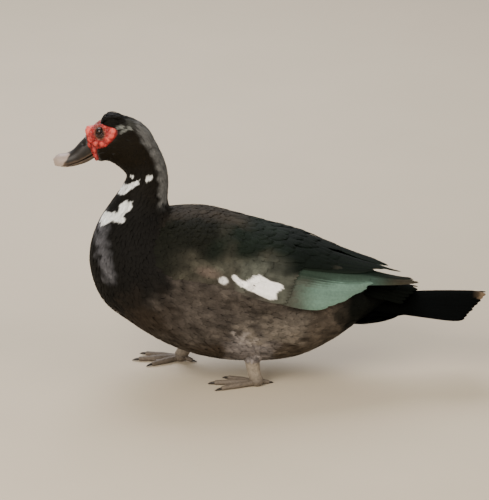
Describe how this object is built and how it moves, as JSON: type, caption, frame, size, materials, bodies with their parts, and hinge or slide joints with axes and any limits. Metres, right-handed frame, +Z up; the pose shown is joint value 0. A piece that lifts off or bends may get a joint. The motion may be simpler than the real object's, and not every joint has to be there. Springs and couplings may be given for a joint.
{
  "type": "muscovy duck model",
  "caption": "Life-size still model of a dark muscovy drake standing in mid stride, with red face, green wings and a long tail.",
  "frame": {"origin": "on the floor, under the middle of the whole bird", "axes": "+X towards the tail, +Y towards the bird's right side, +Z up"},
  "size_m": [0.6484, 0.213, 0.4177],
  "materials": {
    "body_plumage": "soft dark brown and grey-brown feathers, matt, with a few pale specks",
    "dark_plumage": "short black-brown feathers with a cool sheen and white marks",
    "wing_plumage": "dark green glossy flight feathers, brown coverts and a white patch",
    "tail_plumage": "black feathers with a faint green gloss",
    "caruncle_skin": "bare red skin in bulbs and folds, slightly moist",
    "bill_horn": "dark horn with a tan cutting edge",
    "bill_nail": "pale pinkish horn",
    "eye": "wet dark brown eye",
    "leg_scales": "grey scaled skin and webs",
    "claw_horn": "dark horn"
  },
  "bodies": {
    "root": {"torso": "body_plumage", "neck": "dark_plumage", "head": "dark_plumage", "tail": "tail_plumage", "wing_left": "wing_plumage", "wing_right": "wing_plumage", "caruncles": "caruncle_skin", "eye_left": "eye", "eye_right": "eye", "bill_upper": "bill_horn", "bill_lower": "bill_horn", "bill_nail": "bill_nail", "thigh_left": "body_plumage", "shank_left": "leg_scales", "foot_left": "leg_scales", "claw_left_inner": "claw_horn", "claw_left_middle": "claw_horn", "claw_left_outer": "claw_horn", "claw_left_hind": "claw_horn", "thigh_right": "body_plumage", "shank_right": "leg_scales", "foot_right": "leg_scales", "claw_right_inner": "claw_horn", "claw_right_middle": "claw_horn", "claw_right_outer": "claw_horn", "claw_right_hind": "claw_horn"}
  },
  "joints": []
}
